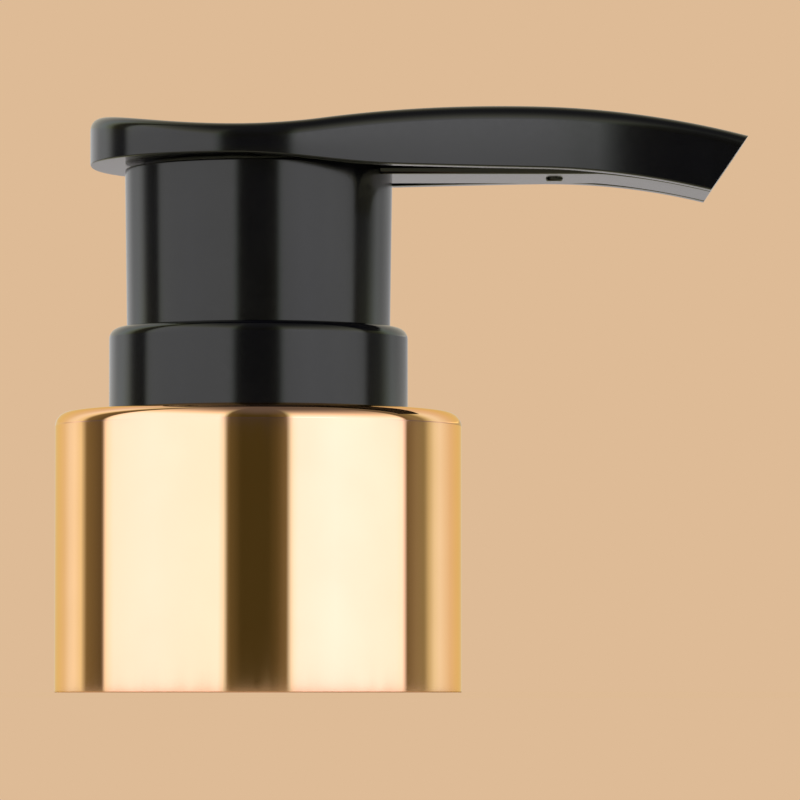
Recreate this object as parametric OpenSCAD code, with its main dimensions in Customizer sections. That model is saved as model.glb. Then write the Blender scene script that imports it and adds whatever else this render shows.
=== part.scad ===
// Lotion pump with a metal-skinned screw cap, for a 24 mm bottle neck.
// Millimetres. The pump's axis is Z, the cap's lower rim lies on Z = 0 and the nozzle points towards +X.

/* [Screw cap] */
// Outside diameter of the metal skin
cap_d = 28; // [27.5:0.1:30]
// Height of the cap
cap_h = 19.25; // [18.5:0.05:22]
// Thickness of the metal skin
skin_t = 0.4; // [0.3:0.05:0.5]
// Radius round the cap's top edge
cap_edge_r = 1; // [0.8:0.05:1.6]
// Thickness of the liner's top wall
liner_top_t = 1.2; // [1:0.1:1.6]
// Wall of the liner, at the root of its thread
liner_t = 1.43; // [1.2:0.01:1.6]
// How far the liner stops above the skin's rim
liner_recess = 0.3; // [0.1:0.1:1]

/* [Collar ring] */
// Outside radius of the ring that shows above the cap
ring_r = 10.28; // [10.2:0.02:11]
// Height of the ring above the cap
ring_h = 5.7; // [5.4:0.05:7]
// Bore that the skirt slides in
ring_bore_r = 9.35; // [9.3:0.01:9.45]
// Radius round the ring's top edge
ring_edge_r = 0.75; // [0.3:0.05:0.8]
// Wall of the ring's tail, where it passes through the cap
tail_t = 0.6; // [0.5:0.05:0.65]
// How far the tail is let into the housing's flange
tail_seat = 0.5; // [0.3:0.05:0.7]

/* [Pump cylinder] */
// Bore of the cylinder
bore_r = 5; // [4.8:0.05:5.1]
// Wall of the cylinder below the flange
barrel_t = 1.2; // [1:0.05:1.25]
// Thickness of the flange
flange_t = 1.3; // [1.1:0.1:1.6]
// Gap between the flange and the liner's bore
flange_gap = 0.65; // [0.5:0.05:0.9]
// Length of the cylinder below its flange
barrel_l = 16.05; // [15.8:0.05:16.1]
// Bore of the dip tube's socket
tube_r = 2.5; // [2.2:0.05:2.7]
// Depth of the dip tube's socket
tube_depth = 4; // [3.6:0.1:4.2]
// Thickness of the gasket under the flange
gasket_t = 1; // [0.6:0.1:1.5]

/* [Plunger] */
// Travel of the head when it is pressed
stroke = 6.5; // [5.5:0.1:6.8]
// Outside radius of the stem
stem_r = 3; // [2.8:0.05:3.1]
// Bore of the stem
stem_bore_r = 1.7; // [1.4:0.05:1.8]
// Length of the piston
piston_h = 3.6; // [3:0.1:3.7]
// Radius of the check balls
ball_r = 1.6; // [1.45:0.05:1.65]
// Lift of the check balls off their seats
ball_lift = 1; // [0.6:0.1:1.1]

/* [Spring] */
// Diameter of the spring's wire
wire_d = 0.9; // [0.7:0.05:0.9]
// Number of turns, the closed end turns included
spring_turns = 8; // [7:1:9]

/* [Head] */
// Outside radius of the skirt at its top
skirt_r = 9.22; // [9.15:0.01:9.25]
// Narrowing of the skirt's radius towards its foot
skirt_draft = 0.17; // [0:0.01:0.2]
// Wall of the skirt at its foot
skirt_t = 0.9; // [0.8:0.05:1]
// Length of the skirt that shows above the collar ring
skirt_show = 10.95; // [10.9:0.05:11.1]
// Gap that shows between the skirt and the head
shadow_gap = 0.2; // [0.1:0.05:0.3]
// Reach of the nozzle's upper lip from the pump's axis
reach = 33.55; // [31:0.5:36]
// How far the head extends behind the axis
head_back = 11.6; // [11:0.1:12.5]
// Half of the head's greatest width
head_half_w = 11.25; // [10.9:0.05:12]
// Half of the nozzle's width at its tip
tip_half_w = 5.2; // [4.6:0.1:5.8]
// Wall of the moulded head
head_wall = 1.25; // [1:0.05:1.4]
// Thickness of the head's roof
roof_t = 1; // [0.8:0.05:1.1]
// Height of the finger's hollow above the head's rear underside
dip_h = 2.06; // [2:0.02:2.4]
// Height of the nozzle's hump above the head's rear underside
hump_h = 3.67; // [3.4:0.01:4.2]
// How much lower the nozzle's edge is than the rear underside
nozzle_drop = 0.6; // [0.4:0.05:0.8]
// Radius round the head's top edge
head_edge_r = 1; // [0.6:0.05:1.1]
// Lean of the nozzle's end face from upright, in degrees
tip_lean = 34.5; // [30:0.5:50]
// Width of the duct in the nozzle
duct_w = 2.6; // [2:0.1:3]

/* [Hidden] */
$fn = 96;
eps = 0.01;
running = 0.05;      // radial clearance of parts that slide or turn in each other
press = 0.02;        // radial clearance of parts that are pressed together for good
shake = 0.1;         // axial play that lets the cap turn on the pump

// Heights, from the cap's rim upwards
liner_top_z = cap_h - skin_t;
ring_foot_z = cap_h + shake;
ring_top_z = ring_foot_z + ring_h;
flange_top_z = liner_top_z - liner_top_t - shake;
flange_z = flange_top_z - flange_t;
gasket_z = flange_z - gasket_t;
barrel_foot = flange_z - barrel_l;
foot_gap = 0.15;
skirt_foot_z = flange_top_z + foot_gap + stroke;
skirt_top_z = ring_top_z + skirt_show;

// Radii that follow from their neighbours
gasket_land = 1.3;   // flange that is bare between the barrel and the gasket
gasket_edge = 0.2;   // flange that is bare outside the gasket
cap_r = cap_d / 2;
liner_r = cap_r - skin_t - press;
neck_bore_r = liner_r - liner_t;
tail_r = ring_bore_r + tail_t;
cap_hole_r = tail_r + shake;
barrel_r = bore_r + barrel_t;
spigot_r = tube_r + barrel_t;
flange_r = neck_bore_r - flange_gap;
gasket_in_r = barrel_r + gasket_land;

// Ball valves: a ball rests on a 45 degree cone that widens upwards from its port
port_r = 1;
port_h = 0.6;
valve_gap = 0.6;     // room round a ball in its chamber
valve_r = ball_r + valve_gap;
seat_gap = 0.03;
floor_t = 0.4;       // housing between a cone outside and a step of the bore inside
function ball_rest(port_top) = port_top + ball_r * sqrt(2) - port_r + seat_gap * sqrt(2);
inlet_port_z = barrel_foot + tube_depth;
inlet_z = ball_rest(inlet_port_z + port_h);
cone_z = inlet_port_z + floor_t;
barrel_z = cone_z + barrel_r - spigot_r;
floor_z = barrel_z + floor_t;
hook_r = 1.2;
hook_h = 0.7;
hook_z = inlet_z + ball_lift + sqrt(ball_r * ball_r - hook_r * hook_r) + seat_gap;
cage_top_z = hook_z + hook_h;

// Piston between the two shoulders of the stem, which stays above the inlet ball's cage when it is down
neck_step = 0.4;     // step from the stem down to the neck that the piston sits on
shoulder_w = 0.5;
neck_r = stem_r - neck_step;
shoulder_r = stem_r + shoulder_w;
shoulder_h = 0.35;
cage_gap = 0.4;
stem_foot_z = cage_top_z + cage_gap + stroke;
piston_z = stem_foot_z + shoulder_h + press;
shoulder_z = piston_z + piston_h + press;
lip_r = bore_r - running;

// Cylinder cap: the stem's upper shoulder stops under its plug, and a seal lies in the plug
stop_gap = 0.1;
plug_z = shoulder_z + shoulder_h + stop_gap;
plug_h = 1.4;
tower_top_z = plug_z + plug_h;
cover_t = 1;
seal_h = 0.8;
seal_w = 0.9;
seal_r = stem_r + seal_w;

// Skirt, its web, and the insert that it hangs on
web_t = 0.9;
boss_t = 1.2;
socket_t = 1.25;     // wall of the socket that holds the stem
socket_l = 3.2;
socket_r = stem_r + socket_t;
socket_z = skirt_top_z - socket_l;
plate_r = skirt_r - boss_t - press;
bead = 0.25;
skirt_in_r = skirt_r - skirt_draft - skirt_t;
stem_top_z = skirt_top_z;
outlet_depth = 5.05; // from the stem's top down to the foot of the outlet valve's port
outlet_port_z = stem_top_z - outlet_depth;
outlet_z = ball_rest(outlet_port_z + port_h);

// Spring, outside the cylinder and the stem
spring_gap = 0.45;
spring_r = barrel_r + spring_gap + wire_d / 2;
spring_foot_z = flange_top_z + press;
spring_top_z = skirt_top_z - web_t - press;

// Outline of the head seen from above: squarish disc, straight flanks, flared neck, parallel tip
disc_power = 2.25;   // 2 would be an ellipse
flank_r = 14;
taper_a = 9.5;       // angle of the neck's last taper
taper_l = 8.9;
flare_run = 4;
parallel_l = 6.8;    // from the tip back to where the taper would meet the parallel sides
tip_fillet_r = 45;   // the long curve that blends the two

// Side view of the head: four arcs run over the rear, the finger's hollow, the hump and the nose
rear_z = skirt_top_z + shadow_gap;
nozzle_z = rear_z - nozzle_drop;
dip_x = -1.15;
dip_z = rear_z + dip_h;
rear_arc_r = 40;
dip_r = 35;
hump_x = 19;
hump_z = rear_z + hump_h;
nose_r = 57;
step_x0 = -1.5;      // where the lower edge leaves the rear's height
step_x1 = 9.5;       // where it has come down to the nozzle's
droop_x = 19.2;
droop_r = 50;
core_x = 0;          // the head is solid behind this, and cored out in front of it
overrun = 2;         // length by which the nozzle is made too long before its end face is cut

// Insert in the nozzle
proud = 0.18;        // how far the insert stands out below the nozzle's edge
insert_z = nozzle_z - proud;
insert_half_w = tip_half_w - head_wall - press;
duct_floor_t = 0.45; // floor under the duct, over the skirt
duct_tip_t = 1.2;    // floor under the duct, at the tip
lid_t = 0.3;         // lid of the outlet valve's chamber
peg_r = 0.7;
nub_x = 20.4;
nub_r = 0.6;
nub_h = 0.2;

// ---------------------------------------------------------------- curves

function ease(s) = let (t = min(max(s, 0), 1)) t * t * (3 - 2 * t);
function blend(a, b, s) = a + (b - a) * ease(s);
function arc(centre, r, a0, a1, steps) =
    [for (i = [0:steps]) let (a = a0 + (a1 - a0) * i / steps) centre + r * [cos(a), sin(a)]];
function line(p, q, steps) = [for (i = [1:steps - 1]) p + (q - p) * i / steps];

// Top of the head. The arcs are level where the rear meets the hollow and where the hump meets the nose.
// The hollow's arc is tangent to the hump's, whose radius follows from it.
hump_rise = hump_z - dip_z;
arc_sum = (pow(hump_x - dip_x, 2) + pow(hump_rise, 2)) / (2 * hump_rise);
hump_r = arc_sum - dip_r;
arc_meet_x = dip_x + (hump_x - dip_x) * dip_r / arc_sum;
function sag(r, x) = r - sqrt(pow(r, 2) - pow(x, 2));
function top_z(x) = x < dip_x ? dip_z + sag(rear_arc_r, x - dip_x)
    : x < arc_meet_x ? dip_z + sag(dip_r, x - dip_x)
    : x < hump_x ? hump_z - sag(hump_r, x - hump_x)
    : hump_z - sag(nose_r, x - hump_x);

// Lower edge of the head: level at the rear, a step down to the nozzle, then the droop to the tip
function edge_z(x) = blend(rear_z, nozzle_z, (x - step_x0) / (step_x1 - step_x0))
    - (x < droop_x ? 0 : sag(droop_r, x - droop_x));

// Underside of the insert, and the floor of its duct
function insert_foot(x) = min(insert_z, edge_z(x));
function duct_floor(x) = min(skirt_top_z + duct_floor_t, insert_foot(x) + duct_tip_t);

// Half outline from the rear point to the tip, on the +Y side
taper_dir = [-cos(taper_a), sin(taper_a)];
taper_end = [reach - parallel_l, tip_half_w];
fillet_run = tip_fillet_r * tan(taper_a / 2);
flare_corner = taper_end + taper_l * taper_dir;

// The straight flank leaves the flank's arc where it points at the flare's corner
flank_c = [0, head_half_w - flank_r];
to_corner = flare_corner - flank_c;
flank_a = atan2(to_corner.x, to_corner.y) - acos(flank_r / norm(to_corner));
flank_dir = [-cos(flank_a), sin(flank_a)];
flank_start = flank_c + flank_r * [sin(flank_a), cos(flank_a)];
flare_start = flare_corner + flare_run * flank_dir;
flare_end = flare_corner - flare_run * taper_dir;
flare_r = flare_run / tan((flank_a - taper_a) / 2);
half_outline = concat(
    [for (i = [0:11]) let (a = 90 * i / 12)
        [-head_back * pow(cos(a), 2 / disc_power), head_half_w * pow(sin(a), 2 / disc_power)]],
    arc(flank_c, flank_r, 90, 90 - flank_a, 5),
    line(flank_start, flare_start, 7),
    arc(flare_start + flare_r * [sin(flank_a), cos(flank_a)], flare_r, 270 - flank_a, 270 - taper_a, 4),
    arc([taper_end.x + fillet_run, tip_half_w + tip_fillet_r], tip_fillet_r, 270 - taper_a, 270, 2),
    line([taper_end.x + fillet_run, tip_half_w], [reach + overrun, tip_half_w], 8),
    [[reach + overrun, tip_half_w]]
);

// Unit normals that point into the outline
rear_i = 0;
tip_i = len(half_outline) - 1;
function inward(i) = i == rear_i ? [1, 0] : i == tip_i ? [0, -1]
    : let (d = half_outline[i + 1] - half_outline[i - 1]) [d.y, -d.x] / norm(d);

// A closed form with the head's outline moved inwards by inset. Its top lies drop below the head's top, its top
// edge is rounded by edge_r, and foot_z(x) is its underside.
module head_form(inset, drop, edge_r, foot_z) {
    steps = edge_r > 0 ? 5 : 0;
    function ring_point(i, k) =
        let (a = steps == 0 ? 0 : 90 * max(k - 1, 0) / steps,
             p = half_outline[i] + inward(i) * (inset + edge_r * (1 - cos(a))))
        [p.x, i == rear_i ? 0 : p.y, k == 0 ? foot_z(p.x) : top_z(p.x) - drop - edge_r * (1 - sin(a))];
    function flip(p) = [p.x, -p.y, p.z];
    rings = steps + 2;
    n = 2 * tip_i + 1;
    points = [for (k = [0:rings - 1]) each concat(
        [for (i = [tip_i:-1:0]) ring_point(i, k)],
        [for (i = [1:tip_i]) flip(ring_point(i, k))])];
    sides = [for (k = [0:rings - 2], j = [0:n - 2])
        each [[k * n + j, (k + 1) * n + j + 1, k * n + j + 1], [k * n + j, (k + 1) * n + j, (k + 1) * n + j + 1]]];
    function lid(base, up) = [for (j = [0:tip_i - 1])
        let (a = base + j, b = base + j + 1, c = base + n - 2 - j, d = base + n - 1 - j)
        each b == c ? [up ? [a, d, b] : [a, b, d]]
            : up ? [[a, c, b], [a, d, c]] : [[a, b, c], [a, c, d]]];
    end = concat([for (k = [0:rings - 1]) k * n + n - 1], [for (k = [rings - 1:-1:0]) k * n]);
    polyhedron(points, concat(sides, lid(0, false), lid((rings - 1) * n, true), [end]), convexity = 6);
}

// Everything in front of the nozzle's leaning end face
module beyond_tip() {
    translate([reach, 0, top_z(reach)])
        rotate([0, tip_lean, 0])
            translate([0, -cap_r, -2 * cap_r])
                cube([4 * overrun, cap_d, 4 * cap_r]);
}

// ---------------------------------------------------------------- simple shapes

module tube(r_out, r_in, z0, z1) {
    translate([0, 0, z0])
        rotate_extrude()
            translate([r_in, 0])
                square([r_out - r_in, z1 - z0]);
}

// Profile of a turned body whose upper outer corner is a true arc
module rounded_profile(r, z0, z1, edge) {
    translate([0, z0])
        square([r, z1 - z0 - edge]);
    square_top = z1 - edge;
    translate([0, square_top - eps])
        square([r - edge, edge + eps]);
    intersection() {
        translate([r - edge, z1 - edge])
            circle(r = edge);
        translate([r - edge - eps, z1 - edge - eps])
            square(edge + 2 * eps);
    }
}

module rounded_disc(r, z0, z1, edge) {
    rotate_extrude()
        rounded_profile(r, z0, z1, edge);
}

module rod(r, z0, z1) {
    translate([0, 0, z0])
        cylinder(r = r, h = z1 - z0);
}

// Port, 45 degree seat and chamber of a ball valve, as one cutter
module valve_cut(port_z, chamber_top) {
    seat_z = port_z + port_h;
    rod(port_r, port_z - eps, seat_z + eps);
    translate([0, 0, seat_z])
        cylinder(r1 = port_r, r2 = valve_r, h = valve_r - port_r);
    rod(valve_r, seat_z + valve_r - port_r, chamber_top);
}

// ---------------------------------------------------------------- screw cap

module cap_shell() {
    color([0.93, 0.72, 0.38])
        difference() {
            rounded_disc(cap_r, 0, cap_h, cap_edge_r);
            rounded_disc(cap_r - skin_t, -eps, liner_top_z, cap_edge_r - skin_t);
            rod(cap_hole_r, liner_top_z - 1, cap_h + 1);
        }
}

module cap_liner() {
    color([0.9, 0.88, 0.82])
        difference() {
            rounded_disc(liner_r, liner_recess, liner_top_z, cap_edge_r - skin_t + press);
            rod(neck_bore_r, liner_recess - 1, liner_top_z - liner_top_t);
            rod(cap_hole_r, liner_top_z - liner_top_t - 1, liner_top_z + 1);
        }
}

// ---------------------------------------------------------------- pump body

module collar_ring() {
    color([0.06, 0.06, 0.06])
        difference() {
            union() {
                rounded_disc(ring_r, ring_foot_z, ring_top_z, ring_edge_r);
                rod(tail_r, flange_top_z - tail_seat, ring_foot_z + eps);
            }
            rod(ring_bore_r, flange_top_z - 1, ring_top_z + 1);
        }
}

// One rib of the inlet ball's cage, with the hook that limits the ball's lift
module cage_rib() {
    rib_in_r = ball_r + 0.15;
    rib_out_r = valve_r + 1.2;
    rib_t = 0.8;
    rotate([90, 0, 0])
        linear_extrude(rib_t, center = true)
            polygon([
                [rib_in_r, inlet_z - 0.3], [rib_out_r, inlet_z - 0.3], [rib_out_r, cage_top_z - 0.3],
                [rib_out_r - 0.3, cage_top_z], [hook_r + 0.4, cage_top_z], [hook_r, hook_z + 0.25],
                [hook_r, hook_z], [rib_in_r, hook_z]
            ]);
}

module pump_housing() {
    color([0.93, 0.93, 0.9])
        difference() {
            union() {
                rod(spigot_r, barrel_foot, cone_z + eps);
                translate([0, 0, cone_z])
                    cylinder(r1 = spigot_r, r2 = barrel_r, h = barrel_r - spigot_r);
                rod(barrel_r, barrel_z - eps, tower_top_z);
                rod(flange_r, flange_z, flange_top_z);
            }
            rod(tube_r, barrel_foot - 1, inlet_port_z);
            difference() {
                union() {
                    valve_cut(inlet_port_z, floor_z + eps);
                    rod(bore_r, floor_z, tower_top_z + 1);
                }
                for (a = [45:90:315])
                    rotate(a)
                        cage_rib();
            }
            // Groove for the collar ring's tail
            tube(tail_r + press, ring_bore_r - press, flange_top_z - tail_seat, flange_top_z + 1);
            // Two vents let air into the bottle behind the liquid
            for (y = [-1, 1] * (barrel_r + 0.65))
                translate([0, y, flange_z - 1])
                    cylinder(r = 0.4, h = flange_t + 2);
        }
}

module neck_gasket() {
    color([0.85, 0.87, 0.9])
        tube(flange_r - gasket_edge, gasket_in_r, gasket_z, flange_z);
}

module cylinder_cap() {
    color([0.8, 0.82, 0.85])
        difference() {
            union() {
                rod(barrel_r, tower_top_z, tower_top_z + cover_t);
                rod(bore_r - press, plug_z, tower_top_z + eps);
            }
            rod(stem_r + running, plug_z - 1, tower_top_z + cover_t + 1);
            rod(seal_r, plug_z - 1, plug_z + seal_h);
        }
}

module stem_seal() {
    color([0.25, 0.28, 0.3])
        tube(seal_r - press, stem_r + running / 2, plug_z, plug_z + seal_h - press);
}

// ---------------------------------------------------------------- plunger

module piston() {
    in_r = neck_r + running;
    out_r = in_r + 0.8;
    lip_t = 0.5;
    waist_r = lip_r - 0.5;
    mid = piston_h / 2;
    color([0.75, 0.8, 0.85])
        translate([0, 0, piston_z])
            rotate_extrude()
                polygon([
                    [in_r, 0], [out_r, 0], [lip_r - lip_t, 0.2], [lip_r, 0], [lip_r, lip_t],
                    [waist_r, mid - 0.4], [waist_r, mid + 0.4], [lip_r, piston_h - lip_t], [lip_r, piston_h],
                    [lip_r - lip_t, piston_h - 0.2], [out_r, piston_h], [in_r, piston_h]
                ]);
}

module pump_stem() {
    color([0.9, 0.9, 0.88])
        difference() {
            union() {
                rod(stem_r, shoulder_z, stem_top_z);
                rod(neck_r, stem_foot_z, shoulder_z + eps);
                rod(shoulder_r, shoulder_z, shoulder_z + shoulder_h);
                translate([0, 0, stem_foot_z])
                    cylinder(r1 = neck_r, r2 = shoulder_r, h = shoulder_h);
            }
            rod(stem_bore_r, stem_foot_z - 1, outlet_port_z);
            valve_cut(outlet_port_z, stem_top_z + 1);
        }
}

// Height of the wire's middle along the spring: closed at both ends, evenly open between
closed_pitch = wire_d + 0.04;
function coil_z(turn) =
    let (z0 = spring_foot_z + wire_d / 2,
         z1 = spring_top_z - wire_d / 2,
         open_pitch = (z1 - z0 - 2 * closed_pitch) / (spring_turns - 2))
    turn < 1 ? z0 + closed_pitch * turn
        : turn > spring_turns - 1 ? z1 - closed_pitch * (spring_turns - turn)
        : z0 + closed_pitch + open_pitch * (turn - 1);

module return_spring() {
    steps = 24;
    sides = 8;
    last = spring_turns * steps;
    points = [for (i = [0:last], s = [0:sides - 1])
        let (turn = i / steps,
             r = spring_r + wire_d / 2 * cos(360 * s / sides),
             z = coil_z(turn) + wire_d / 2 * sin(360 * s / sides))
        [r * cos(360 * turn), r * sin(360 * turn), z]];
    skin = [for (i = [0:last - 1], s = [0:sides - 1])
        let (a = i * sides + s, b = i * sides + (s + 1) % sides)
        each [[a, b, b + sides], [a, b + sides, a + sides]]];
    color([0.75, 0.76, 0.78])
        polyhedron(points, concat(skin,
            [[for (s = [sides - 1:-1:0]) s]],
            [[for (s = [0:sides - 1]) last * sides + s]]), convexity = 12);
}

module inlet_ball() {
    color([0.7, 0.72, 0.75])
        translate([0, 0, inlet_z])
            sphere(r = ball_r);
}

module outlet_ball() {
    color([0.7, 0.72, 0.75])
        translate([0, 0, outlet_z])
            sphere(r = ball_r);
}

// ---------------------------------------------------------------- actuator

module actuator_skirt() {
    foot_r = skirt_r - skirt_draft;
    soft = 0.25;
    color([0.06, 0.06, 0.06])
        difference() {
            rotate_extrude()
                polygon(concat(
                    [[0, skirt_foot_z], [foot_r - soft, skirt_foot_z], [foot_r, skirt_foot_z + soft]],
                    arc([skirt_r - soft, skirt_top_z - soft], soft, 0, 90, 4),
                    [[0, skirt_top_z]]
                ));
            rod(skirt_in_r, skirt_foot_z - 1, skirt_top_z - web_t);
            rod(socket_r + press, skirt_top_z - web_t - 1, skirt_top_z + 1);
        }
}

// Strip along the nozzle, from x0 to past the tip
module bar(half_w, x0) {
    translate([x0, -half_w, 0])
        cube([reach + overrun - x0, 2 * half_w, 2 * hump_z]);
}

// Moulded head: a solid disc at the rear, and walls and a roof that run out to the tip. A boss over the skirt's
// rim holds the insert, and is open at the front where the insert passes through.
module actuator_head() {
    color([0.06, 0.06, 0.06])
        difference() {
            head_form(0, 0, head_edge_r, function (x) edge_z(x));
            difference() {
                intersection() {
                    head_form(head_wall, roof_t, 0, function (x) edge_z(x) - 1);
                    union() {
                        bar(head_half_w, core_x);
                        rod(skirt_r - boss_t, 0, hump_z);
                    }
                }
                difference() {
                    tube(skirt_r, skirt_r - boss_t, rear_z, hump_z + 1);
                    bar(insert_half_w + press, 0);
                }
            }
            beyond_tip();
        }
}

// Insert: socket for the stem, plate over the skirt's web, and the trough of the duct, which the head's roof closes
module nozzle_channel() {
    lid_z = top_z(0) - roof_t - lid_t;
    color([0.09, 0.09, 0.09]) {
        difference() {
            union() {
                intersection() {
                    head_form(head_wall + press, roof_t + press, 0, function (x) insert_foot(x));
                    union() {
                        rod(plate_r, skirt_top_z, hump_z);
                        difference() {
                            bar(insert_half_w, socket_r);
                            rod(skirt_r + running, 0, skirt_top_z);
                        }
                    }
                }
                rod(socket_r, socket_z, skirt_top_z + lid_t);
                // Bead that the skirt's web snaps over
                rod(socket_r + bead, skirt_top_z - web_t - press - 2 * bead, skirt_top_z - web_t - press);
                translate([nub_x, 0, insert_z - nub_h])
                    cylinder(r = nub_r, h = 2 * nub_h);
            }
            rod(stem_r + press, socket_z - 1, stem_top_z + press);
            rod(valve_r, stem_top_z - eps, lid_z);
            intersection() {
                head_form(0, 0, 0, function (x) duct_floor(x));
                bar(duct_w / 2, peg_r + lid_t);
            }
            beyond_tip();
        }
        // Peg that stops the outlet ball
        rod(peg_r, outlet_z + ball_r + ball_lift + seat_gap, lid_z + eps);
    }
}

cap_shell();
cap_liner();
collar_ring();
pump_housing();
neck_gasket();
cylinder_cap();
stem_seal();
piston();
pump_stem();
return_spring();
inlet_ball();
outlet_ball();
actuator_skirt();
actuator_head();
nozzle_channel();
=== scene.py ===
"""Dresses the lotion pump: black moulded head, skirt and collar on a gold anodised screw cap.

Shapes are worked out in millimetres and scaled to metres when a piece is made.
The pump's axis is Z, the cap's lower rim lies on Z = 0 and the nozzle points towards +X.
"""
import math

import bmesh
import bpy
from mathutils import Matrix, Vector


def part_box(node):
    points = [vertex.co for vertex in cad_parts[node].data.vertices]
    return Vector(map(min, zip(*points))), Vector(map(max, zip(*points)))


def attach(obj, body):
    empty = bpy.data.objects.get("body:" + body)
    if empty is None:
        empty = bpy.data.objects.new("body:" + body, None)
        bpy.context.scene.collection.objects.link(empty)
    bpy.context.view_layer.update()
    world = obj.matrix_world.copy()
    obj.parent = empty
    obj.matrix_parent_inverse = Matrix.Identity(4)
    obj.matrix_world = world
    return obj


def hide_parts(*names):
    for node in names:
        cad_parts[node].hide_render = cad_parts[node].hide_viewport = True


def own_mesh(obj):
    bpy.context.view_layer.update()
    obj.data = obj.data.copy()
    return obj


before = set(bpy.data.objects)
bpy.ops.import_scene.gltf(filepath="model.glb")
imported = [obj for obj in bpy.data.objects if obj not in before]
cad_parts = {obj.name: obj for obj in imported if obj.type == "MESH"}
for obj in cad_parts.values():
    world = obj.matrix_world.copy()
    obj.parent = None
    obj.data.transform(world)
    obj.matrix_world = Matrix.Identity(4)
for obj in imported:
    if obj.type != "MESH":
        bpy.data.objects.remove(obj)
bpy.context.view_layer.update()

MM = 0.001
SHARP = math.radians(32)  # edges that turn more than this stay sharp


def top_of(node):
    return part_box(node)[1].z / MM


def foot_of(node):
    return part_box(node)[0].z / MM


def radius_of(node):
    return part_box(node)[1].y / MM


# Sizes read from the frame
CAP_R = radius_of("cap_shell")
CAP_H = top_of("cap_shell")
LINER_R = radius_of("cap_liner")
LINER_FOOT = foot_of("cap_liner")
LINER_TOP = top_of("cap_liner")
RING_R = radius_of("collar_ring")
RING_TOP = top_of("collar_ring")
TAIL_FOOT = foot_of("collar_ring")
SKIRT_R = radius_of("actuator_skirt")
SKIRT_TOP = top_of("actuator_skirt")
SKIRT_FOOT = foot_of("actuator_skirt")
HEAD_BACK = -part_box("actuator_head")[0].x / MM
HEAD_HALF_W = radius_of("actuator_head")
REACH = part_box("actuator_head")[1].x / MM
SOCKET_FOOT = foot_of("nozzle_channel")

# Walls and fits, as in the solids
SKIN_T = 0.4
CAP_EDGE_R = 1.0
LINER_TOP_T = 1.2
NECK_BORE_R = 12.15
RING_BORE_R = 9.35
RING_EDGE_R = 0.75
TAIL_R = 9.95
CAP_HOLE_R = 10.05
RING_FOOT = CAP_H + 0.1
SKIRT_DRAFT = 0.17
SKIRT_T = 0.9
WEB_T = 0.9
SOCKET_R = 4.25
SOCKET_BORE_R = 3.02
BOSS_T = 1.2
SHADOW_GAP = 0.2
PRESS = 0.02  # room between parts that are pressed together


# ---------------------------------------------------------------- curves

def ease(s):
    t = min(max(s, 0.0), 1.0)
    return t * t * (3 - 2 * t)


def blend(a, b, s):
    return a + (b - a) * ease(s)


def polar(angle):
    return Vector((math.cos(math.radians(angle)), math.sin(math.radians(angle))))


def arc(centre, radius, start, end, steps):
    return [Vector(centre) + radius * polar(start + (end - start) * i / steps) for i in range(steps + 1)]


def line(start, end, steps):
    return [start.lerp(end, i / steps) for i in range(1, steps)]


def filleted(corners, segments=6):
    """Closed outline through corners (x, y, radius), each rounded by its own radius."""
    outline = []
    count = len(corners)
    for i, (x, y, radius) in enumerate(corners):
        corner = Vector((x, y))
        if radius == 0:
            outline.append(corner)
            continue
        before = (Vector(corners[i - 1][:2]) - corner).normalized()
        after = (Vector(corners[(i + 1) % count][:2]) - corner).normalized()
        half = before.angle(after) / 2
        centre = corner + (before + after).normalized() * (radius / math.sin(half))
        start = corner + before * (radius / math.tan(half)) - centre
        end = corner + after * (radius / math.tan(half)) - centre
        turn = math.atan2(start.x * end.y - start.y * end.x, start.dot(end))
        first = math.atan2(start.y, start.x)
        outline += [
            centre + radius * polar(math.degrees(first + turn * k / segments)) for k in range(segments + 1)
        ]
    return outline


# ---------------------------------------------------------------- form of the head

REAR_Z = SKIRT_TOP + SHADOW_GAP
NOZZLE_Z = REAR_Z - 0.6
DIP_X, DIP_Z, DIP_R = -1.15, REAR_Z + 2.06, 35.0
HUMP_X, HUMP_Z = 19.0, REAR_Z + 3.67
REAR_ARC_R, NOSE_R = 40.0, 57.0
HUMP_RISE = HUMP_Z - DIP_Z
ARC_SUM = ((HUMP_X - DIP_X) ** 2 + HUMP_RISE ** 2) / (2 * HUMP_RISE)
HUMP_R = ARC_SUM - DIP_R
ARC_MEET_X = DIP_X + (HUMP_X - DIP_X) * DIP_R / ARC_SUM
STEP_X0, STEP_X1 = -1.5, 9.5
DROOP_X, DROOP_R = 19.2, 50.0
EDGE_R = 1.0
HEAD_WALL = 1.25
ROOF_T = 1.0
TIP_HALF_W = 5.2
TIP_LEAN = 34.5
OVERRUN = 2.0
DISC_POWER = 2.25
FLANK_R = 14.0
TAPER_A = 9.5
TAPER_L = 8.9
FLARE_RUN = 4.0
PARALLEL_L = 6.8
TIP_FILLET_R = 45.0
INSERT_Z = NOZZLE_Z - 0.18
INSERT_HALF_W = TIP_HALF_W - HEAD_WALL - PRESS
DUCT_W = 2.6
DUCT_FLOOR_Z = SKIRT_TOP + 0.45
DUCT_TIP_T = 1.2
NUB_X, NUB_R, NUB_H = 20.4, 0.6, 0.2


def sag(radius, run):
    return radius - math.sqrt(radius ** 2 - run ** 2)


def top_z(x):
    """Top of the head: four arcs run over the rear, the finger's hollow, the hump and the nose."""
    if x < DIP_X:
        return DIP_Z + sag(REAR_ARC_R, x - DIP_X)
    if x < ARC_MEET_X:
        return DIP_Z + sag(DIP_R, x - DIP_X)
    return HUMP_Z - sag(HUMP_R if x < HUMP_X else NOSE_R, x - HUMP_X)


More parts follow.
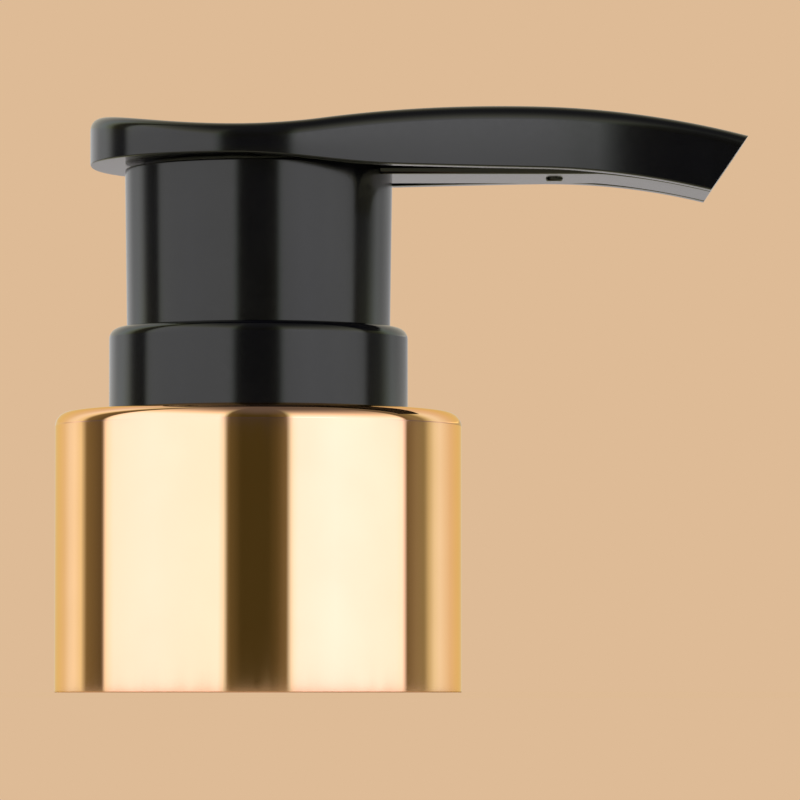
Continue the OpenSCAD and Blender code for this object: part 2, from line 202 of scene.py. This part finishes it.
def edge_z(x):
    """Lower edge of the head's wall: level at the rear, a step down to the nozzle, the droop to the tip."""
    droop = sag(DROOP_R, x - DROOP_X) if x > DROOP_X else 0.0
    return blend(REAR_Z, NOZZLE_Z, (x - STEP_X0) / (STEP_X1 - STEP_X0)) - droop


def half_outline():
    """Outline of the head seen from above, from the rear point to the tip, on the +Y side."""
    taper_dir = Vector((-math.cos(math.radians(TAPER_A)), math.sin(math.radians(TAPER_A))))
    taper_end = Vector((REACH - PARALLEL_L, TIP_HALF_W))
    fillet_run = TIP_FILLET_R * math.tan(math.radians(TAPER_A / 2))
    parallel_start = taper_end + Vector((fillet_run, 0))
    flare_corner = taper_end + TAPER_L * taper_dir
    flank_centre = Vector((0, HEAD_HALF_W - FLANK_R))
    to_corner = flare_corner - flank_centre
    flank_a = math.degrees(math.atan2(to_corner.x, to_corner.y) - math.acos(FLANK_R / to_corner.length))
    across = polar(90 - flank_a)
    flank_start = flank_centre + FLANK_R * across
    flare_start = flare_corner - FLARE_RUN * Vector((across.y, -across.x))
    flare_r = FLARE_RUN / math.tan(math.radians((flank_a - TAPER_A) / 2))
    tip = Vector((REACH + OVERRUN, TIP_HALF_W))
    disc = []
    for i in range(30):
        a = math.radians(90 * i / 30)
        disc.append(Vector((-HEAD_BACK * math.cos(a) ** (2 / DISC_POWER),
                            HEAD_HALF_W * math.sin(a) ** (2 / DISC_POWER))))
    return (
        disc
        + arc(flank_centre, FLANK_R, 90, 90 - flank_a, 12)
        + line(flank_start, flare_start, 16)
        + arc(flare_start + flare_r * across, flare_r, 270 - flank_a, 270 - TAPER_A, 8)
        + arc(parallel_start + Vector((0, TIP_FILLET_R)), TIP_FILLET_R, 270 - TAPER_A, 270, 16)
        + line(parallel_start, tip, 20)
        + [tip]
    )


def inward_normals(outline):
    normals = [Vector((1, 0))]
    for before, after in zip(outline, outline[2:]):
        along = (after - before).normalized()
        normals.append(Vector((along.y, -along.x)))
    return normals + [Vector((0, -1))]


OUTLINE = half_outline()
NORMALS = inward_normals(OUTLINE)


def round_head(half, height):
    """Chain of places round the head, from one side of the tip past the rear to the other side."""
    places = [Vector((p.x, p.y, height(p.x))) for p in half]
    places[0].y = 0
    return places[::-1] + [Vector((p.x, -p.y, p.z)) for p in places[1:]]


def outer_ring(inset, height):
    return round_head([p + n * inset for p, n in zip(OUTLINE, NORMALS)], height)


def inner_ring(inset, height):
    """Inside of the wall in front, and of the boss that is one with the solid rear behind."""
    half = []
    for point, normal in zip(OUTLINE, NORMALS):
        bore = point.normalized() * (SKIRT_R - BOSS_T + inset - HEAD_WALL)
        half.append(bore.lerp(point + normal * inset, ease(point.x)))
    return round_head(half, height)


# ---------------------------------------------------------------- mesh making

def chain_edges(chain):
    return [e for a, b in zip(chain, chain[1:]) for e in a.link_edges if e.other_vert(a) is b]


def start_chain(bm, places, closed=False):
    chain = [bm.verts.new(p) for p in places]
    for a, b in zip(chain, chain[1:]):
        bm.edges.new((a, b))
    if closed:
        bm.edges.new((chain[-1], chain[0]))
    return chain


def next_chain(bm, chain, places, closed=False):
    """Extrudes a chain of edges and moves the new one to its places."""
    edges = chain_edges(chain + chain[:1] if closed else chain)
    made = bmesh.ops.extrude_edge_only(bm, edges=edges)["geom"]
    twin = {tuple(v.co): v for v in made if isinstance(v, bmesh.types.BMVert)}
    following = [twin[tuple(v.co)] for v in chain]
    for vert, place in zip(following, places):
        vert.co = place
    return following


def span(bm, chain):
    """Faces across a symmetric chain, from each vertex to its opposite one."""
    last = len(chain) - 1
    for j in range(last // 2):
        corners = [chain[j], chain[j + 1], chain[last - j - 1], chain[last - j]]
        bm.faces.new(corners if corners[1] is not corners[2] else corners[:2] + corners[3:])


def cut_tip(bm, rounding):
    """Cuts the nozzle's end face, closes it and softens its rim."""
    lean = math.radians(TIP_LEAN)
    cut = bmesh.ops.bisect_plane(
        bm, geom=bm.verts[:] + bm.edges[:] + bm.faces[:], dist=1e-5,
        plane_co=(REACH, 0, top_z(REACH)), plane_no=(math.cos(lean), 0, -math.sin(lean)), clear_outer=True)
    rim = [e for e in cut["geom_cut"] if isinstance(e, bmesh.types.BMEdge)]
    bmesh.ops.holes_fill(bm, edges=rim, sides=0)
    bmesh.ops.recalc_face_normals(bm, faces=bm.faces)
    bmesh.ops.bevel(bm, geom=rim, offset=rounding, offset_type="OFFSET", segments=2, profile=0.5,
                    affect="EDGES", clamp_overlap=True, material=-1)
    bmesh.ops.triangulate(bm, faces=[f for f in bm.faces if len(f.verts) > 4])


def turned(profile, steps=192):
    """Closed profile of (radius, height) points, spun about the axis."""
    bm = bmesh.new()
    chain = start_chain(bm, [(p.x, 0, p.y) for p in profile], closed=True)
    bmesh.ops.spin(bm, geom=chain + bm.edges[:], cent=(0, 0, 0), axis=(0, 0, 1), dvec=(0, 0, 0),
                   angle=2 * math.pi, steps=steps, use_merge=True, use_duplicate=False)
    bmesh.ops.remove_doubles(bm, verts=bm.verts, dist=1e-4)
    bmesh.ops.recalc_face_normals(bm, faces=bm.faces)
    return bm


def mark_sharp(bm):
    for edge in bm.edges:
        edge.smooth = len(edge.link_faces) == 2 and edge.calc_face_angle(0) < SHARP
    for face in bm.faces:
        face.smooth = True


def piece(name, bm, material, body, replaced=()):
    """Makes the finished piece from a mesh in millimetres, and hides the CAD nodes that it replaces.
    Its normals are weighed by area before it is scaled, since the modifier gives up below 1e-6."""
    mark_sharp(bm)
    draft = bpy.data.meshes.new(name + "_draft")
    bm.to_mesh(draft)
    bm.free()
    draft.materials.append(material)
    made = bpy.data.objects.new(name, draft)
    bpy.context.scene.collection.objects.link(made)
    weights = made.modifiers.new("weighted normals", "WEIGHTED_NORMAL")
    weights.keep_sharp = True
    graph = bpy.context.evaluated_depsgraph_get()
    mesh = bpy.data.meshes.new_from_object(
        made.evaluated_get(graph), preserve_all_data_layers=True, depsgraph=graph)
    mesh.transform(Matrix.Scale(MM, 4))
    mesh.name = name
    made.modifiers.clear()
    made.data = mesh
    bpy.data.meshes.remove(draft)
    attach(made, body)
    if replaced:
        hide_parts(*replaced)
    return made


# ---------------------------------------------------------------- shader writing

class Value:
    """An output socket that Python's operators build Math nodes from."""

    def __init__(self, shader, socket):
        self.shader = shader
        self.socket = socket

    def _math(self, operation, *others, swap=False):
        values = [self, *others]
        if swap:
            values.reverse()
        return self.shader.node("ShaderNodeMath", {"operation": operation}, dict(enumerate(values)))

    def __add__(self, other):
        return self._math("ADD", other)

    def __sub__(self, other):
        return self._math("SUBTRACT", other)

    def __rsub__(self, other):
        return self._math("SUBTRACT", other, swap=True)

    def __mul__(self, other):
        return self._math("MULTIPLY", other)

    def __truediv__(self, other):
        return self._math("DIVIDE", other)

    def __neg__(self):
        return self._math("MULTIPLY", -1.0)

    def __abs__(self):
        return self._math("ABSOLUTE")

    __radd__ = __add__
    __rmul__ = __mul__

    def rise(self, low, high):
        """0 below low, 1 above high, smooth between."""
        return self.shader.node("ShaderNodeMapRange", {"interpolation_type": "SMOOTHSTEP"},
                                {0: self, 1: low, 2: high, 3: 0.0, 4: 1.0})


class Shader:
    """Node tree of a material or world."""

    def __init__(self, owner):
        owner.use_nodes = True
        self.tree = owner.node_tree
        self.tree.nodes.clear()

    def node(self, kind, settings=None, inputs=None, output=0):
        made = self.tree.nodes.new(kind)
        for key, value in (settings or {}).items():
            if key == "stops":
                self._stops(made.color_ramp, value)
            else:
                setattr(made, key, value)
        for key, value in (inputs or {}).items():
            if isinstance(value, Value):
                self.tree.links.new(value.socket, made.inputs[key])
            else:
                made.inputs[key].default_value = value
        return Value(self, made.outputs[output]) if made.outputs else None

    def _stops(self, ramp, stops):
        while len(ramp.elements) < len(stops):
            ramp.elements.new(0.5)
        for element, (place, colour) in zip(ramp.elements, stops):
            element.position = place
            element.color = (*colour, 1.0)

    def mix(self, factor, first, second, blend_type="MIX"):
        return self.node("ShaderNodeMix", {"data_type": "RGBA", "blend_type": blend_type},
                         {0: factor, 6: first, 7: second}, output=2)

    def place(self, scale=(1, 1, 1)):
        coordinates = self.node("ShaderNodeTexCoord", output=3)
        return self.node("ShaderNodeMapping", {}, {0: coordinates, 3: scale})

    def noise(self, scale, detail=2.0, stretch=(1, 1, 1)):
        return self.node("ShaderNodeTexNoise", {}, {0: self.place(stretch), 2: scale, 3: detail})

    def bump(self, height, distance):
        return self.node("ShaderNodeBump", {}, {"Strength": 1.0, "Distance": distance, "Height": height})

    def surface(self, inputs):
        shader = self.node("ShaderNodeBsdfPrincipled", {}, inputs)
        self.node("ShaderNodeOutputMaterial", {}, {0: shader})


def material(name):
    made = bpy.data.materials.new(name)
    return made, Shader(made)


def grey(value):
    return (value, value, value, 1.0)


# ---------------------------------------------------------------- finishes

def bright_gold():
    """Bright anodised aluminium: drawn lengthwise, so its reflections break into faint upright streaks."""
    made, s = material("bright_gold")
    streaks = s.noise(900.0, 3.0, (1, 1, 0.01))
    mottle = s.noise(160.0, 2.0)
    colour = s.mix(mottle.rise(0.3, 0.7), (0.97, 0.555, 0.39, 1), (1.0, 0.575, 0.41, 1))
    s.surface({
        "Base Color": colour, "Metallic": 1.0, "Specular Tint": (1.0, 0.84, 0.40, 1),
        "Roughness": 0.015 + streaks * 0.03,
        "Normal": s.bump(streaks, 0.0000015),
    })
    return made


def black_moulding():
    """Glossy moulded polypropylene with the slight unevenness of a moulded skin."""
    made, s = material("black_moulding")
    waves = s.noise(220.0, 2.0)
    grain = s.noise(2600.0, 2.0)
    colour = s.mix(waves.rise(0.35, 0.65), (0.002, 0.002, 0.0045, 1), (0.0035, 0.0035, 0.0065, 1))
    s.surface({
        "Base Color": colour, "Roughness": 0.1 + grain * 0.06, "IOR": 1.49,
        "Normal": s.bump(waves + grain * 0.05, 0.000004),
    })
    return made


def plain_plastic(name, light, dark, roughness, cloud=400.0, distance=0.000005):
    made, s = material(name)
    mottle = s.noise(cloud, 3.0)
    grain = s.noise(6000.0, 2.0)
    s.surface({
        "Base Color": s.mix(mottle.rise(0.3, 0.7), (*dark, 1), (*light, 1)),
        "Roughness": roughness + grain * 0.1,
        "Normal": s.bump(grain, distance),
    })
    return made


def bare_steel(name, tint, roughness):
    made, s = material(name)
    drawn = s.noise(1500.0, 3.0, (1, 1, 4))
    s.surface({
        "Base Color": s.mix(drawn.rise(0.3, 0.7), tuple(0.85 * c for c in tint) + (1,), (*tint, 1)),
        "Metallic": 1.0, "Roughness": roughness + drawn * 0.1,
    })
    return made


# ---------------------------------------------------------------- pieces

def gold_cap(finish):
    """Skin of the cap: cut rim below, tight shoulder above, rolled hole for the collar."""
    inner_r = CAP_R - SKIN_T
    inner_top = CAP_H - SKIN_T
    cut_edge, rolled_edge, hidden_edge = 0.06, 0.12, 0.08
    profile = filleted([
        (CAP_R, 0, cut_edge), (CAP_R, CAP_H, CAP_EDGE_R), (CAP_HOLE_R, CAP_H, rolled_edge),
        (CAP_HOLE_R, inner_top, hidden_edge), (inner_r, inner_top, CAP_EDGE_R - SKIN_T),
        (inner_r, 0, rolled_edge),
    ], segments=12)
    piece("gold_skin", turned(profile, 256), finish, "cap", ["cap_shell"])


def threaded_liner(finish):
    """Screw closure inside the skin, with a one-start thread on its bore."""
    inside_top = LINER_TOP - LINER_TOP_T
    edge, bore_end, lead_in = 0.1, 0.3, 0.35
    profile = filleted([
        (LINER_R, LINER_FOOT, edge), (LINER_R, LINER_TOP, CAP_EDGE_R - SKIN_T), (CAP_HOLE_R, LINER_TOP, 0),
        (CAP_HOLE_R, inside_top, edge), (NECK_BORE_R, inside_top, bore_end),
        (NECK_BORE_R, LINER_FOOT, lead_in),
    ])
    piece("screw_liner", turned(profile, 160), finish, "cap", ["cap_liner"])

    pitch, depth, half_base, half_crest = 3.175, 0.85, 0.85, 0.35
    turns, steps, fading_steps = 1.6, 120, 10
    start_z = LINER_FOOT + 2.6
    sunk = NECK_BORE_R + 0.1
    crest = NECK_BORE_R - depth
    section = [(sunk, -half_base), (crest, -half_crest), (crest, half_crest), (sunk, half_base)]
    least_depth, least_width = 0.02, 0.4
    bm = bmesh.new()

    def places(step):
        """Section of the ridge, which rises from the bore at its start and sinks into it at its end."""
        turn = turns * step / steps
        fade = ease(min(step, steps - step) / fading_steps)
        width = least_width + (1 - least_width) * fade
        angle = 2 * math.pi * turn
        ring = []
        for radius, height in section:
            r = sunk + (radius - sunk) * max(fade, least_depth)
            z = start_z + pitch * turn + height * width
            ring.append(Vector((r * math.cos(angle), r * math.sin(angle), z)))
        return ring

    chain = start_chain(bm, places(0), closed=True)
    bm.faces.new(chain)
    for step in range(1, steps + 1):
        chain = next_chain(bm, chain, places(step), closed=True)
    bm.faces.new(chain)
    bmesh.ops.recalc_face_normals(bm, faces=bm.faces)
    piece("neck_thread_ridge", bm, finish, "cap")


def collar(finish):
    """Ring on the cap. Its tail goes through the cap to the pump's flange."""
    foot_edge, bore_edge, tail_root = 0.1, 0.12, 0.05
    profile = filleted([
        (RING_R, RING_FOOT, foot_edge), (RING_R, RING_TOP, RING_EDGE_R), (RING_BORE_R, RING_TOP, bore_edge),
        (RING_BORE_R, TAIL_FOOT, 0), (TAIL_R, TAIL_FOOT, 0), (TAIL_R, RING_FOOT, tail_root),
    ], segments=10)
    piece("collar", turned(profile), finish, "pump_body", ["collar_ring"])


def skirt(finish):
    """Sleeve under the head, drafted towards its foot, with the web that snaps on the stem socket."""
    foot_r = SKIRT_R - SKIRT_DRAFT
    inner_r = foot_r - SKIRT_T
    hole_r = SOCKET_R + PRESS
    web_foot = SKIRT_TOP - WEB_T
    foot_edge, top_edge, web_root = 0.2, 0.1, 0.3
    profile = filleted([
        (foot_r, SKIRT_FOOT, foot_edge), (SKIRT_R, SKIRT_TOP, top_edge), (hole_r, SKIRT_TOP, 0),
        (hole_r, web_foot, 0), (inner_r, web_foot, web_root), (inner_r, SKIRT_FOOT, foot_edge),
    ], segments=8)
    piece("skirt", turned(profile), finish, "actuator", ["actuator_skirt"])


def head_shell(finish):
    """Moulded head: rounded top edge and upright walls, solid at the rear and cored out in front."""
    steps = 9
    lip = 0.12
    knee = lip * 0.3  # where the lip's rounding is halfway
    cove = 0.2
    bm = bmesh.new()
    chain = start_chain(bm, outer_ring(EDGE_R, top_z))
    span(bm, chain)
    for k in range(1, steps + 1):
        a = math.radians(90 * k / steps)
        inset, drop = EDGE_R * (1 - math.sin(a)), EDGE_R * (1 - math.cos(a))
        chain = next_chain(bm, chain, outer_ring(inset, lambda x: top_z(x) - drop))
    for ring, inset, height in [
        (outer_ring, 0, lambda x: edge_z(x) + lip),
        (outer_ring, knee, lambda x: edge_z(x) + knee),
        (outer_ring, lip, edge_z),
        (inner_ring, HEAD_WALL - lip, edge_z),
        (inner_ring, HEAD_WALL - knee, lambda x: edge_z(x) + knee),
        (inner_ring, HEAD_WALL, lambda x: edge_z(x) + lip),
        (inner_ring, HEAD_WALL, lambda x: top_z(x) - ROOF_T - cove),
        (inner_ring, HEAD_WALL + cove, lambda x: top_z(x) - ROOF_T),
    ]:
        chain = next_chain(bm, chain, ring(inset, height))
    span(bm, chain)
    cut_tip(bm, rounding=0.2)
    piece("head_shell", bm, finish, "actuator", ["actuator_head"])


def boss_ring(finish):
    """Front of the ring under the roof that the skirt meets, on both sides of the nozzle's insert."""
    inner_r = SKIRT_R - BOSS_T
    edge = 0.08
    top = top_z(0)
    bite = 0.05  # how far it goes into the roof
    rear_end = 93  # degrees from the nozzle, just inside the solid rear
    opening = math.degrees(math.asin((INSERT_HALF_W + PRESS) / SKIRT_R))
    profile = filleted([
        (SKIRT_R, REAR_Z, edge), (SKIRT_R, top, 0), (inner_r, top, 0), (inner_r, REAR_Z, edge)])
    bm = bmesh.new()
    for side in (1, -1):
        start = polar(side * opening)
        chain = start_chain(bm, [(p.x * start.x, p.x * start.y, p.y) for p in profile], closed=True)
        edges = chain_edges(chain + chain[:1])
        bm.faces.new(chain)
        last = bmesh.ops.spin(bm, geom=chain + edges, cent=(0, 0, 0), axis=(0, 0, side), dvec=(0, 0, 0),
                              angle=math.radians(rear_end - opening), steps=40, use_merge=False,
                              use_duplicate=False)["geom_last"]
        bmesh.ops.contextual_create(bm, geom=[g for g in last if isinstance(g, bmesh.types.BMEdge)])
    for vert in bm.verts:
        if vert.co.z > top - edge:
            vert.co.z = top_z(vert.co.x) - ROOF_T + bite
    bmesh.ops.recalc_face_normals(bm, faces=bm.faces)
    piece("head_boss", bm, finish, "actuator")


def insert_section(x, low, skirt_r=0.0):
    """Section of the nozzle's insert: soft lower corners, and the trough of the duct in its top.
    With skirt_r, the section is bent round the skirt."""
    high = top_z(x) - ROOF_T - PRESS
    floor_z = min(DUCT_FLOOR_Z, low + DUCT_TIP_T)
    edge, floor_edge, corner_steps = 0.4, 0.3, 6
    side = [Vector((0, floor_z)), Vector((DUCT_W / 2 - floor_edge, floor_z)),
            Vector((DUCT_W / 2, floor_z + floor_edge)), Vector((DUCT_W / 2, high)),
            Vector((INSERT_HALF_W, high))]
    side += [Vector((INSERT_HALF_W - edge, low + edge)) + edge * polar(-90 * k / corner_steps)
             for k in range(corner_steps + 1)]
    other = [Vector((-p.x, p.y)) for p in side[:0:-1]]

    def depth(p):
        return math.sqrt(skirt_r ** 2 - p.x ** 2) if skirt_r else x

    return [Vector((depth(p), p.x, p.y)) for p in side + other]


def nozzle_insert(finish):
    """Bar along the nozzle's underside with the duct's mouth in its end, and the socket for the stem."""
    plate_r = SKIRT_R - BOSS_T - PRESS
    rear = plate_r - 1
    front = SKIRT_R + 0.05
    hair = 0.001  # keeps the next section apart from the last one
    stations = 60
    bm = bmesh.new()
    chain = start_chain(bm, insert_section(rear, SKIRT_TOP), closed=True)
    bm.faces.new(chain)
    chain = next_chain(bm, chain, insert_section(front, SKIRT_TOP, front), closed=True)
    chain = next_chain(bm, chain, insert_section(front, INSERT_Z, front + hair), closed=True)
    for i in range(1, stations + 1):
        x = front + (REACH + OVERRUN - front) * i / stations
        chain = next_chain(bm, chain, insert_section(x, min(INSERT_Z, edge_z(x))), closed=True)
    cut_tip(bm, rounding=0.05)
    piece("nozzle_bar", bm, finish, "actuator", ["nozzle_channel"])

    web_foot = SKIRT_TOP - WEB_T
    bead = 0.25
    plate_top = DIP_Z - ROOF_T - PRESS
    foot_edge, edge = 0.2, 0.1
    profile = filleted([
        (SOCKET_R, SOCKET_FOOT, foot_edge), (SOCKET_R, web_foot - 2 * bead, 0),
        (SOCKET_R + bead, web_foot - bead, edge), (SOCKET_R, web_foot, 0), (SOCKET_R, SKIRT_TOP, 0),
        (plate_r, SKIRT_TOP, edge), (plate_r, plate_top, edge), (SOCKET_BORE_R, plate_top, 0),
        (SOCKET_BORE_R, SOCKET_FOOT, foot_edge),
    ], segments=4)
    piece("stem_socket", turned(profile, 128), finish, "actuator")

    nub = bmesh.new()
    bmesh.ops.create_cone(nub, cap_ends=True, segments=48, radius1=NUB_R, radius2=NUB_R, depth=2 * NUB_H)
    bmesh.ops.translate(nub, vec=(NUB_X, 0, INSERT_Z), verts=nub.verts)
    rim = [e for e in nub.edges if all(v.co.z < INSERT_Z for v in e.verts)]
    bmesh.ops.bevel(nub, geom=rim, offset=0.9 * NUB_H, offset_type="OFFSET", segments=4, profile=0.5,
                    affect="EDGES", material=-1)
    piece("gate_nub", nub, finish, "actuator")


def smooth_copy(node, name, finish, body):
    """A CAD node's own shape, merged and shaded smoothly between its real edges."""
    bm = bmesh.new()
    bm.from_mesh(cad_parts[node].data)
    bmesh.ops.scale(bm, vec=(1 / MM, 1 / MM, 1 / MM), verts=bm.verts)
    bmesh.ops.remove_doubles(bm, verts=bm.verts, dist=1e-3)
    return piece(name, bm, finish, body, [node])


gold = bright_gold()
black = black_moulding()
natural = plain_plastic("natural_moulding", (0.80, 0.79, 0.74), (0.74, 0.73, 0.68), 0.3)
soft = plain_plastic("soft_piston", (0.62, 0.68, 0.72), (0.55, 0.61, 0.66), 0.4)
foam = plain_plastic("gasket_foam", (0.78, 0.80, 0.82), (0.70, 0.72, 0.75), 0.7, 1500.0, 0.00003)
rubber = plain_plastic("seal_rubber", (0.05, 0.055, 0.06), (0.035, 0.04, 0.045), 0.55)
wire = bare_steel("spring_wire", (0.60, 0.60, 0.62), 0.22)
ball = bare_steel("ball_steel", (0.70, 0.70, 0.72), 0.05)

gold_cap(gold)
threaded_liner(natural)
collar(black)
skirt(black)
head_shell(black)
boss_ring(black)
nozzle_insert(black)
for node, finish, body, slot in [
    ("pump_housing", natural, "pump_body", "natural_plastic"),
    ("neck_gasket", foam, "pump_body", "gasket_foam"),
    ("cylinder_cap", natural, "pump_body", "natural_plastic"),
    ("stem_seal", rubber, "pump_body", "seal_rubber"),
    ("return_spring", wire, "pump_body", "spring_steel"),
    ("piston", soft, "plunger", "soft_plastic"),
    ("pump_stem", natural, "actuator", "natural_plastic"),
    ("inlet_ball", ball, "inlet_valve", "ball_steel"),
    ("outlet_ball", ball, "outlet_valve", "ball_steel"),
]:
    copy = smooth_copy(node, "dressed_" + node, finish, body)
    if node == "return_spring":
        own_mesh(copy)


# ---------------------------------------------------------------- stage, light, camera

TAN = (0.7305, 0.4969, 0.3050, 1)


def studio_world():
    """Softboxes at both sides, a dark gap between them towards the camera, dark gaps behind them and pale
    card beyond. The gaps are warm as the cap sees them and neutral a little higher, as the black parts do,
    and a window on the right lights the head's side. The light fades upwards, soonest in front and on the
    right."""
    world = bpy.data.worlds.new("studio")
    bpy.context.scene.world = world
    s = Shader(world)
    way = s.node("ShaderNodeTexCoord", output=0)
    split = s.node("ShaderNodeSeparateXYZ", {}, {0: way})
    outputs = split.socket.node.outputs
    x, y, z = (Value(s, outputs[i]) for i in range(3))
    azimuth = s.node("ShaderNodeMath", {"operation": "ARCTAN2"}, {0: x, 1: -y}) / (2 * math.pi) + 0.5

    def ring(stops):
        """Light round the pump, by degrees from the front. A stop with one value is grey."""
        places = [((degrees + 180) / 360, colour if colour[1:] else colour * 3) for degrees, *colour in stops]
        return s.node("ShaderNodeValToRGB", {"stops": places}, {0: azimuth})

    level_light = ring([
        (-180, 0.72, 0.64, 0.5), (-141, 0.80, 0.80, 0.72), (-132, 0.93, 1.02, 0.98), (-126, 1.0, 1.1, 0.95),
        (-118, 0.9, 0.95, 0.6), (-112, 0.2, 0.18, 0.075), (-97.3, 0.11, 0.095, 0.042),
        (-93.8, 1.25, 1.32, 1.05), (-88, 1.45, 1.45, 1.4), (-60, 1.53, 1.53, 1.54), (-21, 1.54, 1.53, 1.48),
        (-17.9, 1.05, 1.25, 1.0), (-15.6, 0.2, 0.19, 0.085), (-14.5, 0.125, 0.115, 0.042),
        (-8, 0.06, 0.055, 0.015), (7, 0.06, 0.055, 0.015), (12, 0.1, 0.09, 0.03), (17.4, 0.2, 0.185, 0.085),
        (19.2, 0.9, 1.1, 0.86), (21.2, 1.4, 1.46, 1.34), (23.4, 1.53, 1.53, 1.55), (45, 1.62, 1.62, 1.7),
        (85, 1.52, 1.52, 1.5), (90.3, 1.42, 1.46, 1.34), (94.2, 0.17, 0.15, 0.068),
        (102, 0.255, 0.245, 0.125), (109, 0.265, 0.27, 0.13), (114, 0.59, 0.63, 0.35),
        (120, 0.87, 0.98, 0.72), (126, 0.93, 1.05, 0.9), (141, 0.80, 0.78, 0.68), (180, 0.72, 0.64, 0.5),
    ])
    raised_light = ring([
        (-180, 0.72), (-148, 0.78), (-139, 0.67), (-132, 0.80), (-126, 0.98), (-120, 0.90), (-113, 0.3),
        (-108, 0.13), (-97.5, 0.1), (-92, 1.15), (-85, 1.3), (-60, 1.54), (-20, 1.6), (-15, 0.1),
        (-8, 0.06), (11, 0.055), (16.5, 0.1), (21, 1.5), (45, 1.72), (65, 1.7), (82, 1.36), (89, 1.05),
        (96, 0.14), (108, 0.16), (114, 0.32), (121, 0.62), (126, 0.78), (135, 0.56), (156, 0.52),
        (180, 0.6),
    ])
    height_of_black = z.rise(0.0474, 0.0503) - z.rise(0.102, 0.115)
    boxes = s.mix(height_of_black, level_light, raised_light)
    window = (z.rise(0.0915, 0.0955) - z.rise(0.125, 0.14)) * (x.rise(0.28, 0.36) - x.rise(0.6, 0.8))
    brightened = s.mix(window, boxes, grey(1.6), "MULTIPLY")
    side_delay = 0.3
    lift = z - (abs(y) + y) * side_delay - (abs(x) - x) * side_delay
    warmed = s.mix(lift.rise(0.1, 0.5), brightened, (1.0, 0.99, 0.75, 1), "MULTIPLY")
    above = s.mix(lift.rise(0.15, 1.0), warmed, (0.12, 0.12, 0.105, 1))
    light = s.node("ShaderNodeBackground", {}, {0: above, 1: 1.0})
    backdrop = s.node("ShaderNodeBackground", {}, {0: TAN, 1: 1.0})
    seen = s.node("ShaderNodeLightPath", output=0)
    both = s.node("ShaderNodeMixShader", {}, {0: seen, 1: light, 2: backdrop})
    s.node("ShaderNodeOutputWorld", {}, {0: both})


def floor():
    """The camera sees it in the backdrop's colour. The pump sees it pale, warm in front and cool behind."""
    radius, glow_strength, glow_share = 4.0, 1.065, 0.85
    bm = bmesh.new()
    bmesh.ops.create_circle(bm, cap_ends=True, cap_tris=False, segments=96, radius=radius)
    mesh = bpy.data.meshes.new("floor")
    bm.to_mesh(mesh)
    bm.free()
    made = bpy.data.objects.new("floor", mesh)
    bpy.context.scene.collection.objects.link(made)
    paint, s = material("floor_paint")
    tan = s.node("ShaderNodeBsdfDiffuse", {}, {0: TAN})
    glow = s.node("ShaderNodeEmission", {}, {0: TAN, 1: glow_strength})
    shown = s.node("ShaderNodeMixShader", {}, {0: glow_share, 1: tan, 2: glow})
    place = s.node("ShaderNodeTexCoord", output=3)
    behind = s.node("ShaderNodeSeparateXYZ", {}, {0: place}, output=1)
    felt = s.mix(behind.rise(0.1, 0.25), (0.86, 0.83, 0.66, 1), (0.84, 0.80, 0.97, 1))
    pale = s.node("ShaderNodeBsdfDiffuse", {}, {0: felt})
    seen = s.node("ShaderNodeLightPath", output=0)
    both = s.node("ShaderNodeMixShader", {}, {0: seen, 1: pale, 2: shown})
    s.node("ShaderNodeOutputMaterial", {}, {0: both})
    mesh.materials.append(paint)


def camera():
    """Level with the cap's rim, 0.395 m away, tilted up to the head."""
    focal_px, horizon_px, frame_px = 5740, 692.3, 800
    distance, side, height = 0.395, 0.00975, 0.00001
    tilt = math.atan((horizon_px - frame_px / 2) / focal_px)
    data = bpy.data.cameras.new("camera")
    data.sensor_width = 36.0
    data.lens = data.sensor_width * focal_px / frame_px
    data.clip_start, data.clip_end = 0.01, 50.0
    made = bpy.data.objects.new("camera", data)
    bpy.context.scene.collection.objects.link(made)
    made.location = (side, -distance, height)
    made.rotation_euler = (math.pi / 2 + tilt, 0, 0)
    bpy.context.scene.camera = made


studio_world()
floor()
camera()
bpy.context.scene.view_settings.view_transform = "Standard"

bpy.context.view_layer.update()
